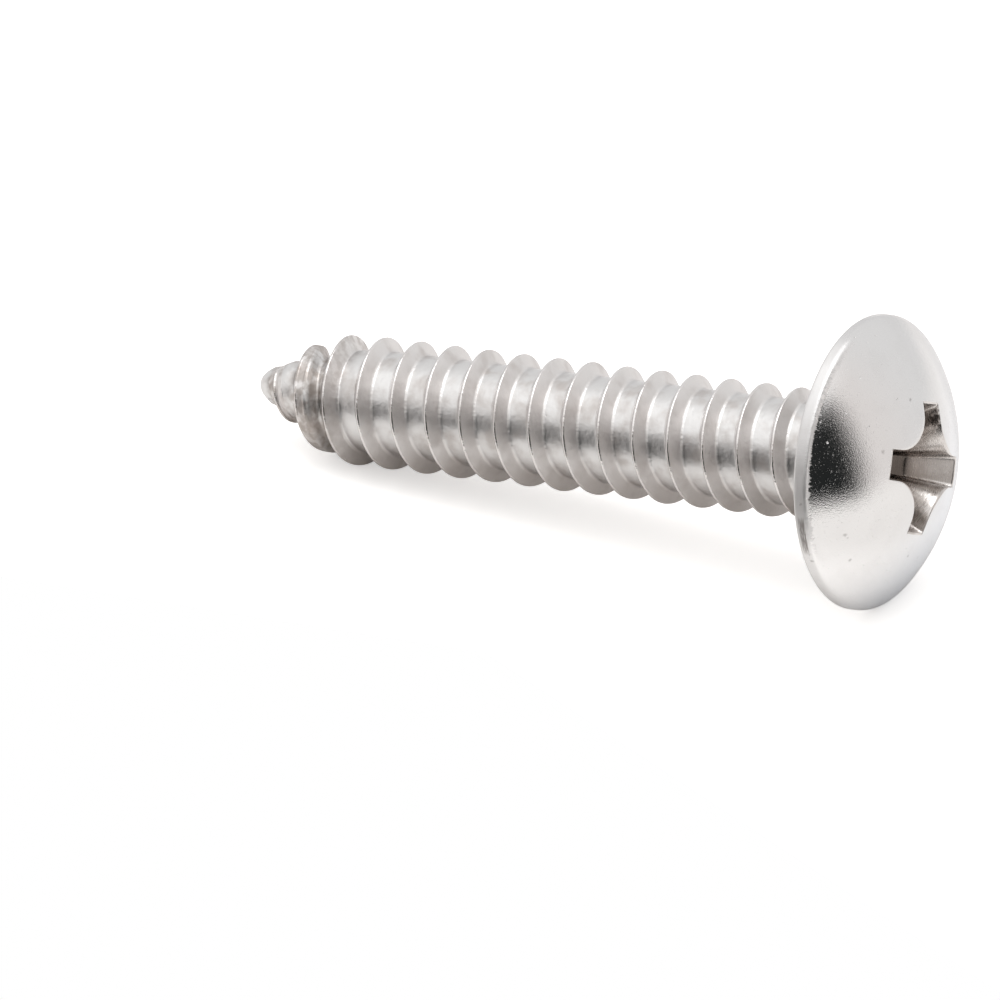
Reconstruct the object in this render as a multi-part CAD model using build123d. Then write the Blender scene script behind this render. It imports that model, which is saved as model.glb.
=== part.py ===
from build123d import *
import math
import os

# Truss head self-tapping screw, stainless steel, millimetres.
# It is headed and thread rolled from one piece of wire, so it is one solid.
# It is drawn standing on its axis: Z = 0 is the bearing face, the dome is above it and the
# point below it. Then it is laid on a floor at Z = 0, as it comes to rest: on the rim of its
# head and on the last full thread crest, with the dome towards +X and the point towards -X.

# Head: a low spherical dome on a thin plain rim
head_diameter = 13.4
head_height = 3.4
rim_thickness = 0.58
rim_chamfer = 0.12

# Where the round faces start, which sets how the corners of their meshes meet the floor
seam_angle = -0.4

# Root of the head: the bearing face flares into the neck and meets it at a crisp ring
flare_diameter = 7.2
flare_height = 0.45

# Neck: plain cylinder between the head and the thread
neck_diameter = 5.02
neck_length = 2.15
neck_chamfer = 0.13

# Thread: spaced, right hand, with a sharp crest and 60 degrees between its flanks
screw_length = 31.8
thread_pitch = 25.4 / 14
thread_major_diameter = 6.0
thread_root_diameter = 4.76
flank_angle = 30.0
thread_start = 1.1
thread_run_in_turns = 1.3
thread_roll = 10.1
tooth_sink = 0.3

# Gimlet point: the core is a cone, the crests follow a fuller curve, both end in a blunt nib
point_length = 5.4
point_fullness = 1.7
cone_rounding = 0.5
nib_diameter = 1.42
nib_length = 1.12
nib_nose_length = 0.76
nib_tip_diameter = 0.8
nib_tip_length = 0.18
thread_end_margin = 0.63

# Cross recess: four tapered wings around a conical core
recess_span = 5.84
recess_wing_width = 1.37
recess_wing_depth = 2.05
recess_wing_end_angle = 26.5
recess_wing_side_angle = 5.75
recess_floor_angle = 20.0
recess_core_diameter = 3.42
recess_core_angle = 19.0
recess_roll = -27.4
recess_overshoot = 0.5

# Thread surfaces: spline points in each turn, turns in each face, step used for a slope
points_per_turn = 6
span_turns = 0.5
slope_step = 0.001

head_radius = head_diameter / 2
neck_radius = neck_diameter / 2
root_radius = thread_root_diameter / 2
crest_radius = thread_major_diameter / 2
nib_radius = nib_diameter / 2
flank_slope = math.tan(math.radians(flank_angle))
cone_slope = (root_radius - nib_radius) / (point_length - nib_length)
dome_rise = head_height - rim_thickness
dome_radius = (head_radius**2 + dome_rise**2) / (2 * dome_rise)


def dome_level(radius):
    """Height of the dome above the bearing face at a distance from the axis."""
    return head_height - dome_radius + math.sqrt(dome_radius**2 - radius**2)


wing_floor_radius = recess_span / 2 - recess_wing_depth * math.tan(
    math.radians(recess_wing_end_angle)
)
recess_floor_level = (
    dome_level(recess_span / 2)
    - recess_wing_depth
    - wing_floor_radius * math.tan(math.radians(recess_floor_angle))
)


def into_cone(depth):
    """How far a depth lies past the start of the point, rounded off where it starts."""
    past = depth - (screw_length - point_length)
    return (past + math.hypot(past, cone_rounding)) / 2


def crest_radius_at(depth):
    """Radius of the thread crest: it rises out of the neck and falls away at the point."""
    start_radius = root_radius - tooth_sink / 2
    turns = (depth - thread_start) / thread_pitch
    left_to_rise = max(1 - turns / thread_run_in_turns, 0) ** 2
    radius = crest_radius - (crest_radius - start_radius) * left_to_rise
    into_point = max(depth - (screw_length - point_length), 0) / point_length
    return radius - crest_radius * into_point**point_fullness


def screw_blank():
    """The turned form without thread or recess, revolved from its half profile."""
    half_angle = math.asin(head_radius / dome_radius) / 2
    dome_middle = dome_radius * math.sin(half_angle)
    with BuildPart() as blank:
        with BuildSketch(Plane.XZ):
            with BuildLine():
                ThreePointArc(
                    (0, head_height),
                    (dome_middle, dome_level(dome_middle)),
                    (head_radius, rim_thickness),
                )
                Polyline(
                    (head_radius, rim_thickness),
                    (head_radius, rim_chamfer),
                    (head_radius - rim_chamfer, 0),
                    (flare_diameter / 2, 0),
                    (neck_radius, -flare_height),
                    (neck_radius, -neck_length + neck_chamfer),
                    (root_radius, -neck_length),
                    (root_radius, -screw_length + point_length),
                    (nib_radius, -screw_length + nib_length),
                    (nib_radius, -screw_length + nib_nose_length),
                    (nib_tip_diameter / 2, -screw_length + nib_tip_length),
                    (0, -screw_length),
                    (0, head_height),
                )
            make_face()
        revolve(axis=Axis.Z)
    return Rot(0, 0, seam_angle) * blank.part.solid()


def tooth_corners(depth):
    """The three corners of the thread's section, where its crest is at this depth."""
    outer = crest_radius_at(depth)
    inner = root_radius - tooth_sink - cone_slope * into_cone(depth)
    half_base = (outer - inner) * flank_slope
    angle = -2 * math.pi * depth / thread_pitch - math.radians(thread_roll)
    across = math.cos(angle)
    along = math.sin(angle)
    return [
        Vector(inner * across, inner * along, -depth + half_base),
        Vector(outer * across, outer * along, -depth),
        Vector(inner * across, inner * along, -depth - half_base),
    ]


def helical_edge(start, end, corner):
    """One corner of the section carried round the axis, from one depth to another."""
    count = max(round((end - start) / thread_pitch * points_per_turn), 3)
    places = [start + (end - start) * i / count for i in range(count + 1)]
    slopes = []
    for place in (start, end):
        ahead = tooth_corners(place + slope_step)[corner]
        behind = tooth_corners(place - slope_step)[corner]
        slopes.append((ahead - behind) / (2 * slope_step))
    points = [tooth_corners(place)[corner] for place in places]
    return Edge.make_spline(points, tangents=slopes, parameters=places, scale=False)


def thread_tooth():
    """The thread as one ridge: a triangular section run round the axis, sunk into the core."""
    last = screw_length - thread_end_margin
    spans = math.ceil((last - thread_start) / (thread_pitch * span_turns))
    span = (last - thread_start) / spans
    stations = [thread_start + span * i for i in range(spans + 1)]
    faces = []
    for start, end in zip(stations[:-1], stations[1:]):
        edges = [helical_edge(start, end, corner) for corner in range(3)]
        for corner in range(3):
            faces.append(Face.make_surface_from_curves(edges[corner], edges[(corner + 1) % 3]))
    for place in (stations[0], stations[-1]):
        faces.append(Face(Wire.make_polygon(tooth_corners(place), close=True)))
    return Solid(Shell(faces))


def drawn_in(width, angle):
    """Outline of a hollow of this width at the wing's mouth, drawn in by an angle each side."""
    slope = math.tan(math.radians(angle))
    top = head_height + recess_overshoot
    mouth = dome_level(recess_span / 2)
    half_top = width / 2 + (top - mouth) * slope
    half_floor = width / 2 - (mouth - recess_floor_level) * slope
    corners = [
        (-half_floor, recess_floor_level),
        (half_floor, recess_floor_level),
        (half_top, top),
        (-half_top, top),
    ]
    return make_face(Polyline(*corners, close=True))


def tapered_slot():
    """One pair of opposite wings: their ends and sides draw in towards the floor."""
    ends = extrude(Plane.XZ * drawn_in(recess_span, recess_wing_end_angle), head_radius, both=True)
    sides = extrude(
        Plane.YZ * drawn_in(recess_wing_width, recess_wing_side_angle), head_radius, both=True
    )
    return ends & sides


def cross_recess():
    """The hollow that a cross driver fits: four wings and a conical core on a shallow floor."""
    slot = tapered_slot()
    core_mouth = dome_level(recess_core_diameter / 2)
    top = head_height + recess_overshoot
    core_slope = math.tan(math.radians(recess_core_angle))
    core_top = recess_core_diameter / 2 + (top - core_mouth) * core_slope
    core_bottom = recess_core_diameter / 2 + (recess_floor_level - core_mouth) * core_slope
    core_height = top - recess_floor_level
    core = Pos(0, 0, recess_floor_level) * Solid.make_cone(core_bottom, core_top, core_height)
    floor_rise = head_radius * math.tan(math.radians(recess_floor_angle))
    floor = Pos(0, 0, recess_floor_level) * Solid.make_cone(0, head_radius, floor_rise)
    above = Pos(0, 0, recess_floor_level + floor_rise) * Solid.make_cylinder(head_radius, top)
    hollow = core.fuse(slot, Rot(0, 0, 90) * slot)
    return Rot(0, 0, recess_roll) * (hollow & floor.fuse(above))


def resting_place():
    """Where the screw lies: its tilt, and the height of the bearing face's centre."""
    turns_to_floor = (0.5 - thread_roll / 360 - thread_start / thread_pitch) % 1
    depth = thread_start + turns_to_floor * thread_pitch
    rests = []
    while depth < screw_length - nib_length:
        radius = crest_radius_at(depth)
        tilt = math.atan2(head_radius - radius, depth + rim_chamfer)
        rests.append((tilt, radius * math.cos(tilt) + depth * math.sin(tilt)))
        depth += thread_pitch
    return min(rests)


def laid_down(screw):
    """The screw on the floor, with the middle of its box over the origin."""
    tilt, height = resting_place()
    axis = Vector(math.cos(tilt), 0, math.sin(tilt))
    upwards = Vector(-math.sin(tilt), 0, math.cos(tilt))
    lying = Plane(origin=(0, 0, height), x_dir=upwards, z_dir=axis).location * screw
    box = lying.bounding_box()
    middle = box.center()
    return Pos(-middle.X, -middle.Y, -box.min.Z) * lying


threaded = screw_blank().fuse(thread_tooth())
screw = laid_down(threaded.cut(cross_recess()))

os.makedirs("parts", exist_ok=True)
export_step(screw, "parts/screw.step")
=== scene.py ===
import math

import bmesh
import bpy
import numpy as np
from mathutils import Matrix, Vector


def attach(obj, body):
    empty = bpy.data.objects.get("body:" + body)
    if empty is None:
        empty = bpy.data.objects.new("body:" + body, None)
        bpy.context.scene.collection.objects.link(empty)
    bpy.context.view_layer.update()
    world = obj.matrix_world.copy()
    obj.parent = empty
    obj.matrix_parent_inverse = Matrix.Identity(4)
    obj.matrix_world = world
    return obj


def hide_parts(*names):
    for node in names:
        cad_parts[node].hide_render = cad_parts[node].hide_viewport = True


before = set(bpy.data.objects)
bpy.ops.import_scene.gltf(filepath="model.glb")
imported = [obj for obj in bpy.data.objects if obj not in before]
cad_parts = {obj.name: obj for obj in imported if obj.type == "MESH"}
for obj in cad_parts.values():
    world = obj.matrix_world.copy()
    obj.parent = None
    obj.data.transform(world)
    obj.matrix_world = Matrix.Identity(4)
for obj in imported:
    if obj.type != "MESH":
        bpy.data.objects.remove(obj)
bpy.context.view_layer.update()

# The screw's blank: one piece of stainless wire, cold headed into a low dome on a thin rim.
# It lies on the rim and on one thread crest, with the dome towards +X. Millimetres, measured
# from the centre of the bearing face, along the screw's axis and round it.
axis_rise = 0.138918
bearing_centre = np.array([14.0215, 0.0, 6.61837])
head_radius = 6.6965
head_height = 3.4
rim_thickness = 0.58
dome_rise = head_height - rim_thickness
dome_radius = (head_radius**2 + dome_rise**2) / (2 * dome_rise)

# Where the screw's own x, y and z point as it lies, one in each row.
axis_run = math.sqrt(1 - axis_rise**2)
lying = np.array([[-axis_rise, 0, axis_run], [0, -1, 0], [axis_run, 0, axis_rise]])


def dome_level(radius):
    """Height of the dome above the bearing face: the sphere's centre plus the root of its
    radius squared less the distance from the axis squared."""
    return head_height - dome_radius + np.sqrt(dome_radius**2 - radius**2)


# The cross recess: struck into the dome by a punch with four tapered wings.
# The metal left between two wings is a rounded corner, and the mouth's edge is a little soft.
recess_roll = math.radians(-27.4)
recess_span = 5.84
wing_width = 1.37
wing_depth = 2.05
wing_end_slope = math.tan(math.radians(26.5))
wing_side_slope = math.tan(math.radians(5.75))
floor_slope = math.tan(math.radians(20.0))
core_radius = 1.71
core_slope = math.tan(math.radians(19.0))
least_rounding = 0.05
mouth_softness = 0.09
wing_mouth = dome_level(recess_span / 2)
core_mouth = dome_level(core_radius)
wing_floor_radius = recess_span / 2 - wing_depth * wing_end_slope
floor_level = wing_mouth - wing_depth - wing_floor_radius * floor_slope

# Columns of points round the whole screw. Each eighth of a turn has this many steps on the
# rounded corner, on the wing's side and on its end. The shares set where the rings lie.
corner_steps = 10
side_steps = 6
end_steps = 4
eighth = corner_steps + side_steps + end_steps
columns = 8 * eighth
column_angle = recess_roll - math.pi / 4 + np.arange(columns) * 2 * math.pi / columns
settling_rounds = 24
floor_shares = np.linspace(0.06, 0.985, 8)
wall_shares = np.linspace(0.01, 1, 12)
edge_shares = (0.25, 0.5, 0.75, 1.0)


def recess_outline(level):
    """Outline of the recess, one point and one level for each column. A quarter is half a
    rounded corner, a wing's side, its end, its other side and half the next corner. Reach,
    half width and the corners' distance from the axis all grow evenly with the level."""
    reach = recess_span / 2 + (level - wing_mouth) * wing_end_slope
    half = wing_width / 2 + (level - wing_mouth) * wing_side_slope
    core = core_radius + (level - core_mouth) * core_slope
    rounding = np.maximum(core - half * math.sqrt(2), least_rounding) / (math.sqrt(2) - 1)
    start = half + rounding
    step = np.arange(columns) % (2 * eighth)
    mirrored = np.where(step > eighth, 2 * eighth - step, step)
    turn = math.pi / 4 * (1 + np.clip(mirrored / corner_steps, 0, 1))
    along = np.clip((mirrored - corner_steps) / side_steps, 0, 1)
    across = np.clip((mirrored - corner_steps - side_steps) / end_steps, 0, 1)
    rounded = mirrored <= corner_steps
    x = np.where(rounded, start - rounding * np.cos(turn), start + (reach - start) * along)
    y = np.where(rounded, start - rounding * np.sin(turn), half * (1 - across))
    y = np.where(step > eighth, y, -y)
    quarter = np.arange(columns) // (2 * eighth) * math.pi / 2 + recess_roll
    return x * np.cos(quarter) - y * np.sin(quarter), x * np.sin(quarter) + y * np.cos(quarter)


def recess_rows():
    """Rings from the middle of the recess's floor out to its mouth: a shallow cone, then the
    walls, whose outline follows the level, then a quadratic curve over the soft edge. Where the
    walls meet the floor and the dome is found in a few rounds, each from the outline before."""
    mouth = np.full(columns, wing_mouth)
    floor = np.full(columns, floor_level)
    for _ in range(settling_rounds):
        mouth = dome_level(np.hypot(*recess_outline(mouth)))
        floor = floor_level + np.hypot(*recess_outline(floor)) * floor_slope
    foot = np.stack(recess_outline(floor), -1)
    rows = []
    for share in floor_shares:
        flat = foot * share
        lift = np.hypot(flat[:, 0], flat[:, 1]) * floor_slope
        rows.append(np.column_stack([flat, floor_level + lift]))
    for share in wall_shares:
        level = floor + (mouth - mouth_softness - floor) * share
        rows.append(np.column_stack([*recess_outline(level), level]))
    inside = rows[-1]
    edge = np.column_stack([*recess_outline(mouth), mouth])
    outside = edge.copy()
    outside[:, :2] *= 1 + mouth_softness / np.hypot(edge[:, 0], edge[:, 1])[:, None]
    outside[:, 2] = dome_level(np.hypot(outside[:, 0], outside[:, 1]))
    for s in edge_shares:
        rows.append(inside * (1 - s) ** 2 + edge * 2 * s * (1 - s) + outside * s**2)
    return np.array(rows)


# The head outside the recess: polished dome, rim as pressed, flat bearing face.
# The dome's edge is ragged where the metal flowed out between the dies, and round elsewhere.
circle_radius = 3.6
edge_inset = 0.3
ragged_edge_inset = 0.1
edge_drop = 0.17
ragged_edge_drop = 0.06
ragged_direction = math.radians(57)
ragged_spread = math.radians(48)
ragged_depth = 0.02
ragged_lip = 0.01
rim_draft = 0.004
rim_edge = 0.12
flare_radius = 3.6
flare_height = 0.45
neck_radius = 2.51


def waves(angle, count, seed):
    """Uneven ripple round the axis, about -1 to 1: the sum of count cosines of the angle, whose
    whole frequencies and phases come from the seed, over the root of count."""
    chance = np.random.default_rng(seed)
    pitch = np.arange(1, count + 1) * chance.integers(2, 6) + chance.integers(0, 3, count)
    phase = chance.uniform(0, 2 * math.pi, count)
    angle = np.asarray(angle)[..., None]
    return np.cos(angle * pitch + phase).sum(-1) / math.sqrt(count)


def ring_rows(radius, level):
    """Rings of points: x and y are the radius times the cosine and the sine of the column's
    angle, z is the level. Each is one value, or one for each row, or for each row and column."""
    x = radius * np.cos(column_angle)
    y = radius * np.sin(column_angle)
    return np.stack(np.broadcast_arrays(x, y, level), -1)


def steps(first, last, count):
    """Evenly spaced values in a column, one for each ring, from past the first to the last."""
    return np.linspace(first, last, count + 1)[1:, None]


def head_rows(mouth):
    """Rings from the recess's mouth to the neck, in a list. On the dome a ring blends evenly
    from the mouth's outline into a circle and its level is the dome's. A quadratic curve leads
    over its edge to the rim. Its middle point lies on the dome, or above it where the edge is
    ragged, over a part of the turn that is a bell curve of the angle. Then come the rim's
    rounded lower edge, the bearing face, and the flare, a quarter of an ellipse."""
    share = steps(0, 1, 11)[..., None]
    circle = ring_rows(circle_radius, 0)[:, :2]
    flat = mouth[:, :2] * (1 - share) + circle * share
    level = dome_level(np.hypot(flat[..., 0], flat[..., 1]))
    inner_dome = np.concatenate([flat, level[..., None]], -1)
    from_middle = np.angle(np.exp(1j * (column_angle - ragged_direction)))
    crisp = np.exp(-((from_middle / ragged_spread) ** 4))
    ragged = ragged_depth * waves(column_angle, count=40, seed=6) * crisp
    edge_radius = head_radius - edge_inset + (edge_inset - ragged_edge_inset) * crisp + ragged
    radius = circle_radius + (edge_radius - circle_radius) * steps(0, 1, 25)
    outer_dome = ring_rows(radius, dome_level(radius))
    edge_level = dome_level(edge_radius)
    brink = rim_thickness - edge_drop + (edge_drop - ragged_edge_drop) * crisp + ragged / 2
    corner_level = dome_level(head_radius) * (1 - crisp) + (edge_level + ragged_lip) * crisp
    s = steps(0, 1, 5)
    over = ring_rows(
        edge_radius * (1 - s) ** 2 + (head_radius - rim_draft) * (1 - (1 - s) ** 2),
        edge_level * (1 - s) ** 2 + corner_level * 2 * s * (1 - s) + brink * s**2,
    )
    band = steps(1, 0, 4)
    rim = ring_rows(head_radius - rim_draft * band, rim_edge + (brink - rim_edge) * band)
    turn = steps(0, math.pi / 2, 5)
    under = ring_rows(head_radius - rim_edge * (1 - np.cos(turn)), rim_edge * (1 - np.sin(turn)))
    bearing = ring_rows(steps(head_radius - rim_edge, flare_radius, 11), 0)
    turn = steps(0, math.pi / 2, 8)
    flare = ring_rows(
        flare_radius - (flare_radius - neck_radius) * np.sin(turn),
        -flare_height * (1 - np.cos(turn)),
    )
    return [np.concatenate([inner_dome, outer_dome]), over, rim, under, bearing, flare]


# The thread: rolled between flat dies, which leave 60 degrees between the flanks, a narrow
# crest, and a plain land at the root. It climbs out of the neck over one turn and a bit, and
# runs down the gimlet point, which the dies leave bent a little to one side.
screw_length = 31.752
thread_pitch = 25.4 / 14
crest_radius = 3.0
root_radius = 2.38
crest_flat = 0.11
crest_softness = 0.022
crest_wear = 0.012
crest_ripple = 0.006
land_ripple = 0.005
root_softness = 0.035
flank_rise = 1 / math.tan(math.radians(30.0))
thread_start = 1.1
start_radius = 2.23
run_in_turns = 1.3
most_left = 1.5
thread_roll = math.radians(10.1)

# The neck above it: two grooves, and a lower edge that the dies chewed as they started.
neck_end = 2.28
neck_fade = 0.22
neck_end_coarseness = 0.07
neck_end_fineness = 0.04
upper_groove = 0.6
upper_groove_depth = 0.03
upper_groove_spread = 0.05
lower_groove = 1.12
lower_groove_depth = 0.06
lower_groove_spread = 0.09
chewed_middle = 1.75
chewed_spread = 0.35
chewed_depth = 0.025
chewed_sink = 0.012
chewed_slant = 0.9

# The point: a cone with a bulge before the nib, the last crests smeared wide, and a blunt nose.
point_length = 5.315
point_fullness = 1.85
cone_rounding = 0.5
bulge_height = 0.19
bulge_middle = 30.1
bulge_spread = 0.55
smear_width = 0.28
smear_middle = 28.6
smear_spread = 0.6
nib_radius = 0.84
nib_length = 1.035
nib_rounding = 0.12
nose_length = 0.7
nose_power = 0.42
tip_offset = 0.26
bend_length = 5.3
bend_power = 1.1

# The helix: its two ends, the turns that cover them and a bit more, and how far the rows of a
# turn lie from the middle of its crest. They are closest where the crest and the land begin.
helix_start = 1.0
helix_end = 30.95
helix_turns = np.arange(-1, 20)
section = np.array([
    -0.82, -0.70, -0.58, -0.50, -0.45, -0.41, -0.37, -0.30, -0.22, -0.15, -0.10, -0.07, -0.045,
    0.0, 0.045, 0.07, 0.10, 0.15, 0.22, 0.30, 0.37, 0.41, 0.45, 0.50, 0.58, 0.70, 0.82, 0.907,
])


def bell(place, middle, spread):
    """Bell curve: e to the minus square of the distance from the middle over the spread."""
    return np.exp(-(((place - middle) / spread) ** 2))


def core_radius_at(depth):
    """Radius between the threads: the root, and the point's cone, rounded in by the root of its
    distance squared plus a square. The blunt nose is a power of the distance from the tip."""
    slope = (root_radius - nib_radius) / (point_length - nib_length)
    past = depth - (screw_length - point_length)
    radius = root_radius - slope * (past + np.hypot(past, cone_rounding)) / 2
    radius = (radius + nib_radius + np.hypot(radius - nib_radius, nib_rounding)) / 2
    nose = np.clip((screw_length - depth) / nose_length, 0, 1)
    return radius * nose**nose_power


def neck_swelling(depth):
    """How far the neck stands out from the root: two grooves, bell curves of the depth, and a
    ragged lower edge where the rolling dies started, a smooth step of the depth."""
    coarse = neck_end_coarseness * waves(column_angle, count=14, seed=11)
    fine = neck_end_fineness * waves(column_angle, count=40, seed=12)
    step = np.clip((neck_end + coarse + fine - depth) / neck_fade, 0, 1)
    grooves = lower_groove_depth * bell(depth, lower_groove, lower_groove_spread)
    grooves = grooves + upper_groove_depth * bell(depth, upper_groove, upper_groove_spread)
    chewed = waves(column_angle + depth * chewed_slant, count=30, seed=13)
    chewed = (chewed_depth * chewed - chewed_sink) * bell(depth, chewed_middle, chewed_spread)
    swelling = neck_radius - root_radius - grooves + chewed
    return swelling * step * step * (3 - 2 * step)


def crest_radius_at(depth):
    """Radius of the crest: it rises from under the neck as one less the square of what is left
    of the run in, up to a most, and falls at the point as a power of the way into it."""
    turns = (depth - thread_start) / thread_pitch
    left = np.clip(1 - turns / run_in_turns, 0, None) ** 2
    radius = crest_radius - (crest_radius - start_radius) * np.minimum(left, most_left)
    into = np.clip(depth - (screw_length - point_length), 0, None) / point_length
    return radius - crest_radius * into**point_fullness


def thread_radius(depth, crest_depth):
    """Radius at a depth: the greater, smoothly, of the core and of the tooth, which is the crest
    less the distance from its flat times the flank's rise. Sines make both a little uneven."""
    turned = 2 * math.pi * crest_depth / thread_pitch
    uneven = np.sin(turned * 0.37 + 1) + np.sin(turned * 1.31) + np.sin(turned * 5.73 + 2)
    smeared = smear_width * bell(crest_depth, smear_middle, smear_spread)
    off = np.abs(depth - crest_depth + smeared) - crest_flat / 2 - smeared
    off = (off + np.hypot(off, crest_softness)) / 2
    tooth = crest_radius_at(crest_depth) + crest_ripple * uneven - crest_wear - off * flank_rise
    lumps = np.sin(depth * 1.3 + 2 * np.cos(column_angle)) * np.cos(column_angle * 3 + depth * 0.4)
    core = core_radius_at(depth) + neck_swelling(depth) + land_ripple * lumps
    core = core + bulge_height * bell(depth, bulge_middle, bulge_spread)
    return (core + tooth + np.hypot(core - tooth, root_softness)) / 2


def thread_grid():
    """Rings that follow the helix. A row's depth is the pitch times the turn, less the share of
    a turn that the column's angle makes, plus the row's place in the section, held between the
    helix's two ends. Returns the points, their depths and their places in the section."""
    crest = helix_turns[:, None, None] - (column_angle + thread_roll) / (2 * math.pi)
    crest, place = np.broadcast_arrays(crest * thread_pitch, section[:, None])
    crest, place = crest.reshape(-1, columns), place.reshape(-1, columns)
    depth = np.clip(crest + place, helix_start, helix_end)
    return ring_rows(thread_radius(depth, crest), -depth), depth, place


def quads(index, climb=0):
    """Faces between the rows of a grid of vertex numbers, each row closed to its first column.
    On a helix the last column goes on in the first column of a row that is climb rows up, and
    there are no faces where no such row is."""
    ahead = np.roll(index, -1, axis=1)
    if climb:
        ahead[:, -1] = -1
        ahead[climb:, -1] = index[:-climb, 0]
    faces = np.stack([index[:-1], ahead[:-1], ahead[1:], index[1:]], -1).reshape(-1, 4)
    return faces[(faces >= 0).all(1)]


def built_mesh(name, points, faces, slots, crest_distance):
    """Mesh of faces with three or four corners: a corner that repeats its neighbour goes, and
    faces left with fewer than three corners go too. Points hold how far they lie from the
    middle of their crest, along the axis, for the thread's material."""
    keep = faces != np.roll(faces, 1, axis=1)
    count = keep.sum(1)
    whole = count >= 3
    faces, keep, count, slots = faces[whole], keep[whole], count[whole], slots[whole]
    used, corners = np.unique(faces[keep], return_inverse=True)
    mesh = bpy.data.meshes.new(name)
    mesh.vertices.add(len(used))
    mesh.vertices.foreach_set("co", points[used].astype(np.float32).ravel())
    mesh.loops.add(len(corners))
    mesh.loops.foreach_set("vertex_index", corners.astype(np.int32).ravel())
    mesh.polygons.add(len(count))
    starts = np.concatenate([[0], np.cumsum(count)[:-1]]).astype(np.int32)
    mesh.polygons.foreach_set("loop_start", starts)
    mesh.polygons.foreach_set("material_index", slots.astype(np.int32))
    mesh.polygons.foreach_set("use_smooth", np.ones(len(count), bool))
    mesh.update(calc_edges=True)
    stored = mesh.attributes.new("crest_distance", "FLOAT", "POINT")
    stored.data.foreach_set("value", crest_distance[used].astype(np.float32))
    mesh.validate()
    return mesh


def screw_mesh():
    """All rings in order, from the middle of the recess to the tip, as one closed surface. Rows
    of the helix past its two ends take the numbers of the rings that it joins there. The point
    bends towards x as a power of the way into it, and then the screw is laid down."""
    polished_slot, struck_slot, pressed_slot, formed_slot, rolled_slot = range(5)
    recess = recess_rows()
    neck_depth = steps(flare_height, helix_start, 11)
    neck = ring_rows(root_radius + neck_swelling(neck_depth), -neck_depth)
    parts = [recess, *head_rows(recess[-1]), neck]
    finishes = [struck_slot, polished_slot, polished_slot, pressed_slot, pressed_slot,
                formed_slot, formed_slot, rolled_slot]
    upper = np.concatenate(parts)
    upper_slots = np.repeat(finishes, [len(rows) * columns for rows in parts])
    helix, helix_depth, place = thread_grid()
    nose_depth = screw_length - (screw_length - helix_end) * np.linspace(1, 0, 16)[:-1, None] ** 2
    nose = ring_rows(core_radius_at(nose_depth), -nose_depth)

    ends = np.cumsum([len(upper) * columns, len(helix) * columns, len(nose) * columns])
    middle, tip = ends[-1], ends[-1] + 1
    upper_index, helix_index, nose_index = (
        part.reshape(-1, columns) for part in np.split(np.arange(ends[-1]), ends[:-1])
    )
    helix_index = np.where(helix_depth <= helix_start, upper_index[-1], helix_index)
    helix_index = np.where(helix_depth >= helix_end, nose_index[0], helix_index)
    upper_faces = quads(np.vstack([np.full(columns, middle), upper_index]))
    thread_faces = quads(helix_index, len(section))
    nose_faces = quads(np.vstack([nose_index, np.full(columns, tip)]))
    faces = np.concatenate([upper_faces, thread_faces, nose_faces])
    slots = np.full(len(faces), rolled_slot)
    slots[:len(upper_faces)] = upper_slots

    poles = np.array([[0, 0, floor_level], [0, 0, -screw_length]])
    points = np.concatenate([grid.reshape(-1, 3) for grid in (upper, helix, nose, poles)])
    crest_distance = np.full(len(points), thread_pitch / 2)
    crest_distance[ends[0]:ends[1]] = np.abs(place).ravel()
    into_point = np.clip(1 - (screw_length + points[:, 2]) / bend_length, 0, 1)
    points[:, 0] += tip_offset * into_point**bend_power
    placed = (bearing_centre + points @ lying) / 1000
    return built_mesh("screw_body", placed, faces, slots, crest_distance)


def join(tree, value, socket):
    """Joins a socket to an input, or sets the input to a plain value."""
    if isinstance(value, bpy.types.NodeSocket):
        tree.links.new(value, socket)
    else:
        socket.default_value = value


def add_node(tree, kind, settings=None, **inputs):
    """A node of this kind, its settings made, and each input set to a value or joined to a
    socket. An input's name is written with _ for a space."""
    made = tree.nodes.new(kind)
    for name, value in (settings or {}).items():
        setattr(made, name, value)
    for name, value in inputs.items():
        join(tree, value, made.inputs[name.replace("_", " ")])
    return made


def add_group(name, inputs, outputs):
    """An empty node group: its plain number inputs, and its outputs by name and kind. Returns
    the group, the sockets that bring the inputs in and those that take the outputs out."""
    group = bpy.data.node_groups.new(name, "ShaderNodeTree")
    for title, value in inputs.items():
        socket = group.interface.new_socket(title, in_out="INPUT", socket_type="NodeSocketFloat")
        socket.default_value = value
    for title, kind in outputs.items():
        group.interface.new_socket(title, in_out="OUTPUT", socket_type="NodeSocket" + kind)
    given = group.nodes.new("NodeGroupInput").outputs
    return group, given, group.nodes.new("NodeGroupOutput").inputs


def placed_group(tree, group, **inputs):
    """What a node group puts out, placed in a tree with these inputs."""
    return add_node(tree, "ShaderNodeGroup", {"node_tree": group}, **inputs).outputs


def number(tree, operation, *given):
    """An operation on plain numbers, as a socket."""
    made = add_node(tree, "ShaderNodeMath", {"operation": operation})
    for value, socket in zip(given, made.inputs):
        join(tree, value, socket)
    return made.outputs["Value"]


def vector(tree, operation, *given):
    """An operation on vectors, as a socket: a number where it gives a length or a product."""
    made = add_node(tree, "ShaderNodeVectorMath", {"operation": operation})
    for value, socket in zip(given, made.inputs):
        join(tree, value, socket)
    plain = operation in ("LENGTH", "DISTANCE", "DOT_PRODUCT")
    return made.outputs["Value" if plain else "Vector"]


def times(tree, first, second):
    """The product of two numbers, as a socket."""
    return number(tree, "MULTIPLY", first, second)


def weighted(tree, start, *parts):
    """A start value plus each part times its weight, as a socket."""
    for part, weight in parts:
        start = number(tree, "MULTIPLY_ADD", part, weight, start)
    return start


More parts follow.
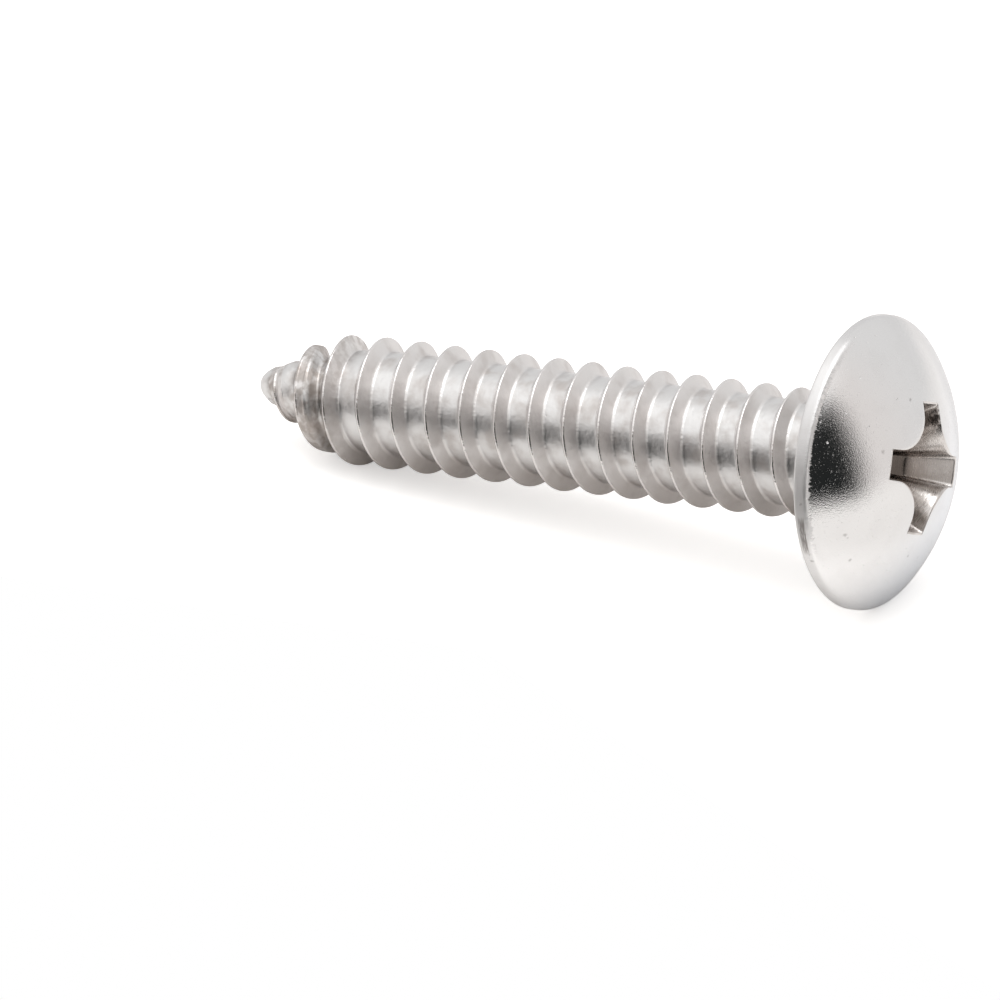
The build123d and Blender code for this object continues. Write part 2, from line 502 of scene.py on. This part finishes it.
def ramp(tree, value, low, high):
    """A smooth step: 0 below low and 1 above high, or the other way round where low is greater."""
    made = add_node(
        tree, "ShaderNodeMapRange", {"interpolation_type": "SMOOTHSTEP"}, Value=value,
        From_Min=min(low, high), From_Max=max(low, high),
        To_Min=float(low > high), To_Max=float(low < high),
    )
    return made.outputs["Result"]


def noise(tree, place, scale, detail, distortion=0.0):
    """Noise from 0 to 1: lumps to the unit of the place, and layers of finer ones."""
    made = add_node(tree, "ShaderNodeTexNoise", Vector=place, Scale=scale, Detail=detail,
                    Distortion=distortion)
    return made.outputs["Fac"]


def blend(tree, share, first, second):
    """A colour between two, by a share from 0 to 1."""
    made = add_node(tree, "ShaderNodeMix", {"data_type": "RGBA"}, Factor=share)
    first_colour, second_colour = 6, 7
    for place, value in ((first_colour, first), (second_colour, second)):
        join(tree, (*value, 1) if isinstance(value, tuple) else value, made.inputs[place])
    return made.outputs[2]


def coated(tree, colour, *coats):
    """A colour under coats of others, each with its mask, its strength and its own colour."""
    for mask, strength, coat in coats:
        colour = blend(tree, times(tree, mask, strength), colour, coat)
    return colour


# Where a point of the screw is: millimetres from the middle of the bearing face, with z along
# the axis, the distance from the axis, the level along it, and the direction from it.
where_group, _, out = add_group("place_on_screw", {}, {
    "Place": "Vector", "Radius": "Float", "Level": "Float", "Round": "Vector"})
turn = Matrix(lying.tolist())
lay_back = add_node(
    where_group, "ShaderNodeMapping",
    Vector=add_node(where_group, "ShaderNodeTexCoord").outputs["Object"],
    Location=-(turn @ Vector(bearing_centre)),
    Rotation=turn.to_euler("XYZ"),
    Scale=(1000, 1000, 1000),
)
place = lay_back.outputs["Vector"]
flat = vector(where_group, "MULTIPLY", place, (1, 1, 0))
join(where_group, place, out["Place"])
join(where_group, vector(where_group, "LENGTH", flat), out["Radius"])
join(where_group, vector(where_group, "DOT_PRODUCT", place, (0, 0, 1)), out["Level"])
join(where_group, vector(where_group, "NORMALIZE", flat), out["Round"])

# What working leaves on the steel: streaks that run round the axis, grain, small pits and
# brownish smudges of oil. Streaks are noise that is fine along the axis and long round it.
worn_group, given, out = add_group(
    "worn_steel",
    {"Around": 3.0, "Across": 24.0, "Grain Size": 9.0, "Pit Size": 0.09, "Streaks": 1.0,
     "Grain": 1.0, "Pits": 1.0},
    {"Height": "Float", "Smudge": "Float", "Streak": "Float"})
on = placed_group(worn_group, where_group)
across = times(worn_group, weighted(worn_group, on["Level"], (on["Radius"], 0.8)), given["Across"])
across = add_node(worn_group, "ShaderNodeCombineXYZ", Z=across).outputs["Vector"]
drawn = vector(worn_group, "MULTIPLY", on["Round"], given["Around"])
streak = noise(worn_group, vector(worn_group, "ADD", drawn, across), 1.0, 3.0)
grain = noise(worn_group, on["Place"], given["Grain Size"], 3.0)
cells = add_node(worn_group, "ShaderNodeTexVoronoi", Vector=on["Place"], Scale=2.1).outputs
chosen = add_node(worn_group, "ShaderNodeSeparateColor", Color=cells["Color"]).outputs["Red"]
size = times(worn_group, given["Pit Size"], ramp(worn_group, chosen, 0.5, 1.0))
pit = number(worn_group, "DIVIDE", cells["Distance"], number(worn_group, "ADD", size, 0.001))
pit = number(worn_group, "MAXIMUM", number(worn_group, "SUBTRACT", 1.0, pit), 0.0)
height = times(worn_group, streak, given["Streaks"])
height = weighted(worn_group, height, (grain, given["Grain"]))
height = number(worn_group, "SUBTRACT", height, times(worn_group, pit, given["Pits"]))
smudge = ramp(worn_group, noise(worn_group, on["Place"], 0.9, 3.0, 0.2), 0.42, 0.78)
join(worn_group, height, out["Height"])
join(worn_group, smudge, out["Smudge"])
join(worn_group, streak, out["Streak"])

# Marks that the head got in its box, each a small dark spot. The numbers are a spot's place,
# x, y and level in millimetres, and its radius.
marks_group, _, out = add_group("head_marks", {}, {"Mark": "Float"})
on = placed_group(marks_group, where_group)
fuzz = noise(marks_group, on["Place"], 9.0, 2.0)
spots = 0.0
for x, y, level, size in (
    (-1.07, 5.30, 1.68, 0.10), (-1.25, 5.18, 1.72, 0.05), (-2.46, 4.98, 1.58, 0.09),
    (-3.70, 1.53, 2.50, 0.07), (2.06, 2.88, 2.71, 0.10), (3.42, 0.10, 2.74, 0.08),
    (-1.65, 6.55, 0.44, 0.08), (-2.02, 6.38, 0.48, 0.07), (0.9, 6.62, 0.40, 0.06),
):
    apart = vector(marks_group, "DISTANCE", on["Place"], (x, y, level))
    apart = weighted(marks_group, apart, (fuzz, 0.18))
    spot = ramp(marks_group, apart, size + 0.13, size * 0.4 + 0.07)
    spots = number(marks_group, "MAXIMUM", spots, spot)
join(marks_group, spots, out["Mark"])

# How near a point is to the part of the rim where the dome's edge is ragged, from 0 to 1.
ragged_group, _, out = add_group("ragged_part", {}, {"Share": "Float"})
on = placed_group(ragged_group, where_group)
ragged_way = (math.cos(ragged_direction), math.sin(ragged_direction), 0)
toward = vector(ragged_group, "DOT_PRODUCT", on["Round"], ragged_way)
join(ragged_group, ramp(ragged_group, toward, 0.6, 0.8), out["Share"])


def cross_lines(tree, on, count, detail):
    """Fine lines along the axis: noise read at the place plus count times the direction from
    the axis, so that it changes fast round the axis and slowly along it."""
    place = vector(tree, "MULTIPLY_ADD", on["Round"], (count, count, 0), on["Place"])
    return noise(tree, place, 1.0, detail)


def new_steel(name, **wear):
    """A bare steel material with this wear. Returns it, its node tree and shader, where a point
    is on the screw, and the wear there."""
    material = bpy.data.materials.new(name)
    material.use_nodes = True
    tree = material.node_tree
    shader = tree.nodes["Principled BSDF"]
    shader.inputs["Metallic"].default_value = 1.0
    shader.inputs["Specular Tint"].default_value = (0.82, 0.82, 0.83, 1)
    on = placed_group(tree, where_group)
    return material, tree, shader, on, placed_group(tree, worn_group, **wear)


def finish_steel(tree, shader, colour, rough, height, depth):
    """Joins colour, roughness and a bump of this depth in millimetres to the shader."""
    bump = add_node(tree, "ShaderNodeBump", Strength=1.0, Distance=depth / 1000, Height=height)
    join(tree, colour, shader.inputs["Base Color"])
    join(tree, rough, shader.inputs["Roughness"])
    join(tree, bump.outputs["Normal"], shader.inputs["Normal"])


# Dome: tumbled bright, so nearly a mirror, with a few pits and faint handling marks. Painted
# cool shade makes it darker and bluer towards its lower far side. It is dull and toothed along its
# ragged edge.
polished, tree, shader, on, worn = new_steel(
    "polished_dome", Streaks=0.1, Grain=2.6, Pits=9.0, Grain_Size=19.0, Pit_Size=0.13)
# Painted shade: a cooler, darker colour towards the dome's lower far side.
painted_cool_shade = ramp(tree, vector(tree, "DOT_PRODUCT", on["Place"], (1, 1, 0)), 2.0, -8.0)
mark = placed_group(tree, marks_group)["Mark"]
colour = coated(
    tree, blend(tree, painted_cool_shade, (0.71, 0.70, 0.695), (0.64, 0.66, 0.69)),
    (worn["Smudge"], 0.1, (0.5, 0.48, 0.47)),
    (mark, 0.45, (0.2, 0.19, 0.18)),
)
specks = ramp(tree, noise(tree, on["Place"], 13.0, 1.0), 0.62, 0.76)
ragged = placed_group(tree, ragged_group)["Share"]
notch = cross_lines(tree, on, 45, 2.0)
dull_edge = ramp(tree, weighted(tree, on["Radius"], (notch, 0.6)), 6.81, 6.86)
dull_edge = times(tree, dull_edge, ragged)
rough = weighted(tree, 0.08, (worn["Smudge"], 0.05), (specks, 0.3), (dull_edge, 0.4))
toothed = times(tree, notch, times(tree, ragged, ramp(tree, on["Radius"], 6.48, 6.62)))
height = weighted(tree, worn["Height"], (toothed, 6.0))
finish_steel(tree, shader, colour, rough, height, 0.0028)

# Recess: struck by the punch and smudged with oil. Painted shade makes it browner and darker
# towards the floor and nearly black low in the wings. One wing's wall has dark specks.
struck, tree, shader, on, worn = new_steel(
    "struck_recess", Streaks=0.3, Grain=1.0, Pits=1.0, Grain_Size=7.0, Pit_Size=0.14)
# Painted shade: browner and darker towards the recess's floor.
painted_depth_shade = ramp(tree, on["Level"], 2.7, 0.9)
# Painted shade: nearly black low in the wings, away from the axis.
painted_corner_shade = times(tree, ramp(tree, on["Radius"], 0.6, 1.2), ramp(tree, on["Level"], 1.3, 0.8))
apart = vector(tree, "DISTANCE", on["Place"], (1.75, -1.65, 3.0))
specks = ramp(tree, noise(tree, on["Place"], 5.0, 2.0), 0.38, 0.5)
specks = times(tree, specks, ramp(tree, apart, 0.55, 0.35))
colour = coated(
    tree, blend(tree, painted_depth_shade, (0.68, 0.65, 0.63), (0.50, 0.45, 0.42)),
    (specks, 0.85, (0.07, 0.06, 0.055)),
    (worn["Smudge"], 0.6, (0.27, 0.23, 0.2)),
    (painted_corner_shade, 0.9, (0.08, 0.065, 0.055)),
)
rough = weighted(tree, 0.14, (worn["Streak"], 0.25))
finish_steel(tree, shader, colour, rough, worn["Height"], 0.009)

# Rim: as pressed, with fine lines along and across it, deeper where the edge is ragged. A dark
# smear runs down it on one side.
pressed, tree, shader, on, worn = new_steel(
    "pressed_rim", Streaks=1.0, Grain=0.8, Pits=1.0, Around=12.0, Across=30.0, Grain_Size=10.0)
mark = placed_group(tree, marks_group)["Mark"]
ragged = placed_group(tree, ragged_group)["Share"]
smear_direction = math.radians(96)
smear_way = (math.cos(smear_direction), math.sin(smear_direction), 0)
smear = vector(tree, "DOT_PRODUCT", on["Round"], smear_way)
smear = ramp(tree, smear, math.cos(math.radians(9)), math.cos(math.radians(5)))
smear = times(tree, smear, ramp(tree, on["Level"], 0.14, 0.24))
smear = times(tree, smear, ramp(tree, worn["Streak"], 0.3, 0.55))
colour = coated(
    tree, (0.7, 0.69, 0.685),
    (worn["Smudge"], 0.2, (0.42, 0.39, 0.37)),
    (mark, 0.7, (0.16, 0.14, 0.13)),
    (smear, 0.8, (0.2, 0.18, 0.17)),
)
rough = weighted(tree, 0.12, (worn["Streak"], 0.2), (ragged, 0.3))
height = number(tree, "ADD", worn["Height"], cross_lines(tree, on, 70, 2.0))
height = times(tree, height, weighted(tree, 0.25, (ragged, 0.75)))
finish_steel(tree, shader, colour, rough, height, 0.004)

# Bearing face and flare: formed by the die, satin, with fine rings and short radial scratches.
formed, tree, shader, on, worn = new_steel(
    "bearing_face", Streaks=1.2, Grain=1.0, Pits=1.0, Around=6.0, Across=14.0)
colour = coated(tree, (0.67, 0.655, 0.645), (worn["Smudge"], 0.3, (0.42, 0.38, 0.35)))
rough = weighted(tree, 0.25, (worn["Streak"], 0.2))
scratches = ramp(tree, cross_lines(tree, on, 60, 3.0), 0.58, 0.7)
height = weighted(tree, worn["Height"], (scratches, -0.8))
finish_steel(tree, shader, colour, rough, height, 0.004)

# Thread: rolled, satin and a little mottled. The crests are rubbed brighter than the flanks.
# Oil and dust brown the lands and, most of all, two bands at the point. Painted shade browns the
# side it lies on.
rolled, tree, shader, on, worn = new_steel(
    "rolled_thread", Streaks=0.5, Grain=2.2, Pits=2.0, Around=5.0, Across=11.0,
    Grain_Size=4.5, Pit_Size=0.14)
off_crest = add_node(tree, "ShaderNodeAttribute", {"attribute_name": "crest_distance"})
off_crest = off_crest.outputs["Fac"]
crest = ramp(tree, off_crest, 0.09, 0.05)
land = ramp(tree, off_crest, 0.38, 0.5)
# Painted shade: the side facing the floor is blended towards brown.
under = ramp(tree, vector(tree, "DOT_PRODUCT", on["Round"], (-1, 0, 0)), 0.1, 0.8)
level = on["Level"]
at_point = ramp(tree, level, -26.0, -28.5)
oiled = times(tree, worn["Smudge"], weighted(tree, 0.3, (land, 0.25), (at_point, 0.5)))
upper_band = times(tree, ramp(tree, level, -25.6, -28.0), ramp(tree, level, -29.9, -29.3))
lower_band = times(tree, ramp(tree, level, -30.0, -30.4), ramp(tree, level, -31.1, -30.8))
mottled = ramp(tree, noise(tree, on["Place"], 2.6, 3.0), 0.36, 0.66)
mottled = times(tree, mottled, number(tree, "ADD", upper_band, lower_band))
oil_and_shade_brown = (0.36, 0.31, 0.28)
colour = coated(
    tree, blend(tree, land, (0.715, 0.692, 0.68), (0.685, 0.675, 0.668)),
    (under, 0.45, oil_and_shade_brown),
    (oiled, 1.0, oil_and_shade_brown),
    (mottled, 0.6, (0.27, 0.23, 0.2)),
)
rough = weighted(
    tree, 0.26, (worn["Streak"], 0.24), (worn["Smudge"], 0.1), (land, -0.04), (crest, -0.2))
off_ledge = number(tree, "ABSOLUTE", number(tree, "SUBTRACT", off_crest, 0.43))
on_edge = number(tree, "ADD", crest, ramp(tree, off_ledge, 0.07, 0.02))
nicks = times(tree, cross_lines(tree, on, 16, 3.0), on_edge)
finish_steel(tree, shader, colour, rough, weighted(tree, worn["Height"], (nicks, 3.5)), 0.006)

screw = bpy.data.objects.new("screw_body", screw_mesh())
bpy.context.scene.collection.objects.link(screw)
for material in (polished, struck, pressed, formed, rolled):
    screw.data.materials.append(material)
shell = bmesh.new()
shell.from_mesh(screw.data)
bmesh.ops.recalc_face_normals(shell, faces=shell.faces)
shell.to_mesh(screw.data)
shell.free()
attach(screw, "root")
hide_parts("screw")


# The floor: a white board that the screw lies on. Its near side is cut back to just in front
# of the screw, so that the dark open front shows in the lower side of the lands. Metres.
board_corners = [
    (-0.5, -0.06, 0), (-0.03, -0.02, 0), (0.002, -0.0135, 0), (0.06, -0.04, 0), (0.06, 0.5, 0),
    (-0.5, 0.5, 0),
]
floor_mesh = bpy.data.meshes.new("white_board")
floor_mesh.from_pydata(board_corners, [], [range(len(board_corners))])
floor = bpy.data.objects.new("white_board", floor_mesh)
bpy.context.scene.collection.objects.link(floor)
board = bpy.data.materials.new("white_board")
board.use_nodes = True
tree = board.node_tree
shader = tree.nodes["Principled BSDF"]
shader.inputs["Base Color"].default_value = (0.9, 0.885, 0.868, 1)
shader.inputs["Roughness"].default_value = 0.9
shader.inputs["Specular IOR Level"].default_value = 0.1
shader.inputs["Emission Color"].default_value = (1, 1, 1, 1)

# The camera sees it lifted to white with the screw's close shadow left on it. Metal sees it
# lifted a little, and a strip just before the head glows brighter for metal only: a painted
# reflection in the dome's lower side.
camera_lift = 0.44
metal_lift = 0.03
glow_strip_lift = 0.26
# Painted reflection: for metal only, a strip of the board just before the head glows brighter.
glow_strip = add_node(tree, "ShaderNodeTexCoord").outputs["Object"]
glow_strip = vector(tree, "DOT_PRODUCT", glow_strip, (1, 0, 0))
glow_strip = times(tree, ramp(tree, glow_strip, 0.0145, 0.017), ramp(tree, glow_strip, 0.026, 0.017))
path = add_node(tree, "ShaderNodeLightPath").outputs
mirrored = number(tree, "ADD", path["Is Glossy Ray"], path["Is Transmission Ray"])
lift = weighted(
    tree, times(tree, path["Is Camera Ray"], camera_lift),
    (mirrored, weighted(tree, metal_lift, (glow_strip, glow_strip_lift))),
)
join(tree, lift, shader.inputs["Emission Strength"])
floor_mesh.materials.append(board)


# The light: a white tent round the screw, brighter overhead, with its open front dark.
# The dark front is what the dome and the root lands show as a soft black patch and band.
# The camera, and whatever is seen through, get plain white behind the screw.
front_direction = math.radians(-62.5)
front_way = (math.cos(front_direction), math.sin(front_direction), 0)
glow_way = (0.436, -0.770, 0.466)
world = bpy.data.worlds.new("white_tent")
bpy.context.scene.world = world
world.use_nodes = True
tree = world.node_tree
ray = add_node(tree, "ShaderNodeTexCoord").outputs["Generated"]
level_ray = vector(tree, "NORMALIZE", vector(tree, "MULTIPLY", ray, (1, 1, 0)))
facing = vector(tree, "DOT_PRODUCT", level_ray, front_way)
wide = ramp(tree, facing, math.cos(math.radians(69)), math.cos(math.radians(60)))
high = vector(tree, "DOT_PRODUCT", ray, (-0.175, -0.097, 1))
opening = times(tree, wide, ramp(tree, high, 0.6, 0.49))
overhead_share = ramp(tree, vector(tree, "DOT_PRODUCT", ray, (0, -0.4, 1)), 0.55, 0.88)
glow = vector(tree, "DOT_PRODUCT", ray, glow_way)
glow = ramp(tree, glow, math.cos(math.radians(26)), math.cos(math.radians(8)))
tent = coated(
    tree, blend(tree, ramp(tree, facing, -0.6, 0.4), (0.95, 0.95, 0.95), (0.97, 0.93, 0.91)),
    (overhead_share, 1.0, (1.36, 1.36, 1.36)),
    (opening, 1.0, (0.022, 0.024, 0.024)),
    (glow, 1.0, (0.62, 0.59, 0.57)),
)
path = add_node(tree, "ShaderNodeLightPath").outputs
seen = number(tree, "ADD", path["Is Camera Ray"], path["Is Transmission Ray"])
background = tree.nodes["Background"]
join(tree, blend(tree, seen, tent, (1, 1, 1)), background.inputs["Color"])
background.inputs["Strength"].default_value = 1.0

# A soft round lamp hangs straight above.
lamp = bpy.data.lights.new("overhead", "AREA")
lamp.shape = "DISK"
lamp.size = 0.45
lamp.energy = 1.2
overhead = bpy.data.objects.new("overhead", lamp)
overhead.location = (-0.05, 0, 0.7)
bpy.context.scene.collection.objects.link(overhead)


# The camera: far back with a long lens, a little above the screw, as in the photograph.
camera = bpy.data.objects.new("camera", bpy.data.cameras.new("camera"))
camera.data.lens = 746.2
camera.data.sensor_width = 36
camera.data.clip_start = 0.05
camera.location = (0.40869, -0.7245, 0.44063)
aim = Vector((-0.00467, -0.00052, 0)) - Vector(camera.location)
camera.rotation_euler = aim.to_track_quat("-Z", "Y").to_euler()
bpy.context.scene.collection.objects.link(camera)
bpy.context.scene.camera = camera
bpy.context.scene.view_settings.view_transform = "Standard"
